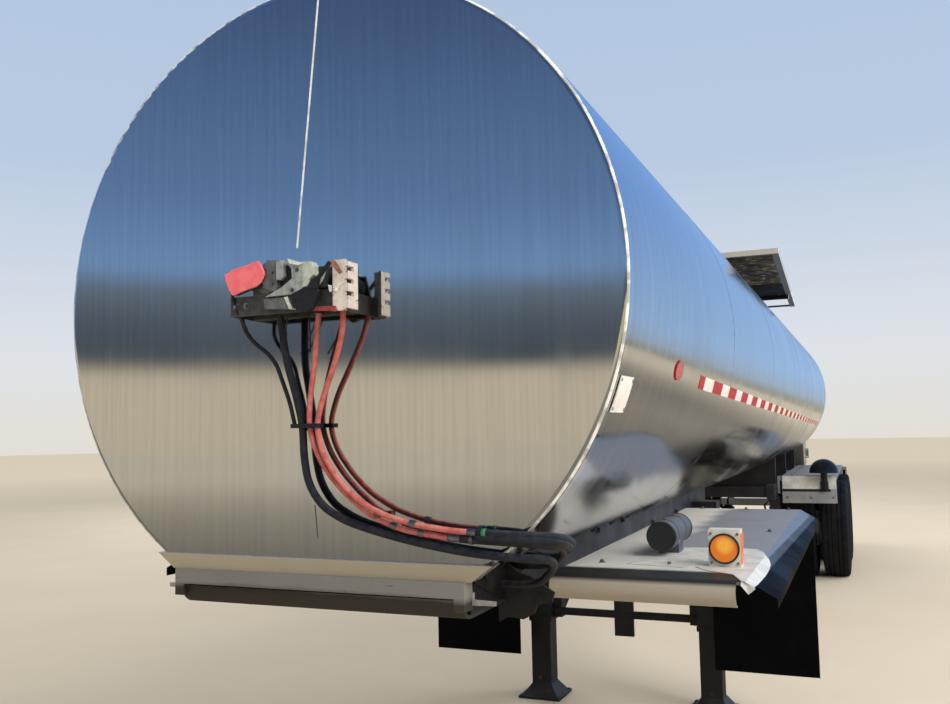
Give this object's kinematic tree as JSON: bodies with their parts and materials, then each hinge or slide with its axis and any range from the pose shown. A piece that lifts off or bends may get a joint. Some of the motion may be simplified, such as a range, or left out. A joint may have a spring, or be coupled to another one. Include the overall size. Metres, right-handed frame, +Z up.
{
  "type": "tank semi-trailer",
  "caption": "Road tank semi-trailer: polished insulated barrel, kingpin coupler, landing legs, sprung dual wheels, fenders, top manway and platform, rear outlet cabinet and front service lines.",
  "frame": {"origin": "on the ground under the middle of the whole trailer", "axes": "+X forward, +Y to the trailer's left, +Z up"},
  "size_m": [12.3592, 2.426, 3.2473],
  "materials": {
    "polished_jacket": "mirror-polished stainless sheet",
    "polished_head": "mirror-polished flat stainless head",
    "stainless": "brushed stainless steel",
    "cabinet_sheet": "satin stainless sheet",
    "platform_aluminium": "weathered mill-finish aluminium",
    "apron_sheet": "polished stainless apron",
    "coupler_steel": "worn paint with grease",
    "kingpin_steel": "forged steel, greased",
    "chassis_black": "black chassis paint",
    "spring_steel": "black painted spring steel, rusty",
    "fender_sheet": "dull stainless sheet",
    "lamp_housing": "pale grey paint",
    "amber_lens": "clear amber acrylic",
    "red_lens": "red acrylic",
    "black_plastic": "black moulded plastic",
    "flap_rubber": "black flexible sheet",
    "bumper_steel": "galvanised grey",
    "bracket_grey": "weathered cast aluminium",
    "coupling_cast": "as-cast aluminium",
    "socket_black": "black moulded plastic",
    "board_white": "chipped white paint",
    "cover_red": "faded red plastic",
    "hose_red": "faded red air hose",
    "cable_black": "black cable jacket",
    "tie_black": "black nylon",
    "tyre_rubber": "dusty tyre rubber",
    "wheel_steel": "dull polished disc wheels"
  },
  "bodies": {
    "trailer": {"tank_jacket": "polished_jacket", "front_head": "polished_head", "rear_head": "polished_head", "manway_collar": "stainless", "outlet_valve": "stainless", "rear_cabinet": "cabinet_sheet", "work_platform": "platform_aluminium", "side_ladder": "platform_aluminium", "coupler_apron": "apron_sheet", "coupler_plate": "coupler_steel", "kingpin": "kingpin_steel", "coupler_frame": "chassis_black", "landing_legs": "chassis_black", "landing_feet": "chassis_black", "landing_braces": "chassis_black", "landing_crank": "chassis_black", "rear_subframe": "chassis_black", "spring_hangers": "chassis_black", "torque_rods": "chassis_black", "axles": "chassis_black", "brake_chambers": "chassis_black", "air_tanks": "chassis_black", "leaf_springs": "spring_steel", "front_fenders": "fender_sheet", "rear_fenders": "fender_sheet", "fender_supports": "fender_sheet", "lamp_housings": "lamp_housing", "lamp_lenses": "amber_lens", "tail_lamps": "red_lens", "fender_canisters": "black_plastic", "dome_lamps": "black_plastic", "mud_flaps": "flap_rubber", "rear_bumper": "bumper_steel", "service_bracket": "bracket_grey", "gladhands": "coupling_cast", "trailer_socket": "socket_black", "side_boards": "board_white", "dust_cover": "cover_red", "air_hose_long": "hose_red", "air_hose_short": "hose_red", "black_harness": "cable_black", "socket_cable": "cable_black", "harness_clips": "tie_black"},
    "manway_lid": {"manway_lid": "stainless"},
    "cabinet_door_left": {"cabinet_door_left": "cabinet_sheet"},
    "cabinet_door_right": {"cabinet_door_right": "cabinet_sheet"},
    "wheel_front_left": {"tyres_front_left": "tyre_rubber", "wheels_front_left": "wheel_steel"},
    "wheel_front_right": {"tyres_front_right": "tyre_rubber", "wheels_front_right": "wheel_steel"},
    "wheel_rear_left": {"tyres_rear_left": "tyre_rubber", "wheels_rear_left": "wheel_steel"},
    "wheel_rear_right": {"tyres_rear_right": "tyre_rubber", "wheels_rear_right": "wheel_steel"}
  },
  "joints": [
    {"name": "wheel_front_left_spin", "type": "hinge", "parent": "trailer", "child": "wheel_front_left", "pos_m": [-2.88465, 0.908, 0.525], "axis": [0, 1, 0], "continuous": true},
    {"name": "wheel_front_right_spin", "type": "hinge", "parent": "trailer", "child": "wheel_front_right", "pos_m": [-2.88465, -0.908, 0.525], "axis": [0, 1, 0], "continuous": true},
    {"name": "wheel_rear_left_spin", "type": "hinge", "parent": "trailer", "child": "wheel_rear_left", "pos_m": [-4.12965, 0.908, 0.525], "axis": [0, 1, 0], "continuous": true},
    {"name": "wheel_rear_right_spin", "type": "hinge", "parent": "trailer", "child": "wheel_rear_right", "pos_m": [-4.12965, -0.908, 0.525], "axis": [0, 1, 0], "continuous": true},
    {"name": "manway_lid_hinge", "type": "hinge", "parent": "trailer", "child": "manway_lid", "pos_m": [-1.48465, 0, 3.202], "axis": [0, -1, 0], "range_deg": [0, 100]},
    {"name": "cabinet_door_left_hinge", "type": "hinge", "parent": "trailer", "child": "cabinet_door_left", "pos_m": [-6.14265, 0.624, 1.5], "axis": [0, 0, -1], "range_deg": [0, 110]},
    {"name": "cabinet_door_right_hinge", "type": "hinge", "parent": "trailer", "child": "cabinet_door_right", "pos_m": [-6.14265, -0.624, 1.5], "axis": [0, 0, 1], "range_deg": [0, 110]}
  ]
}
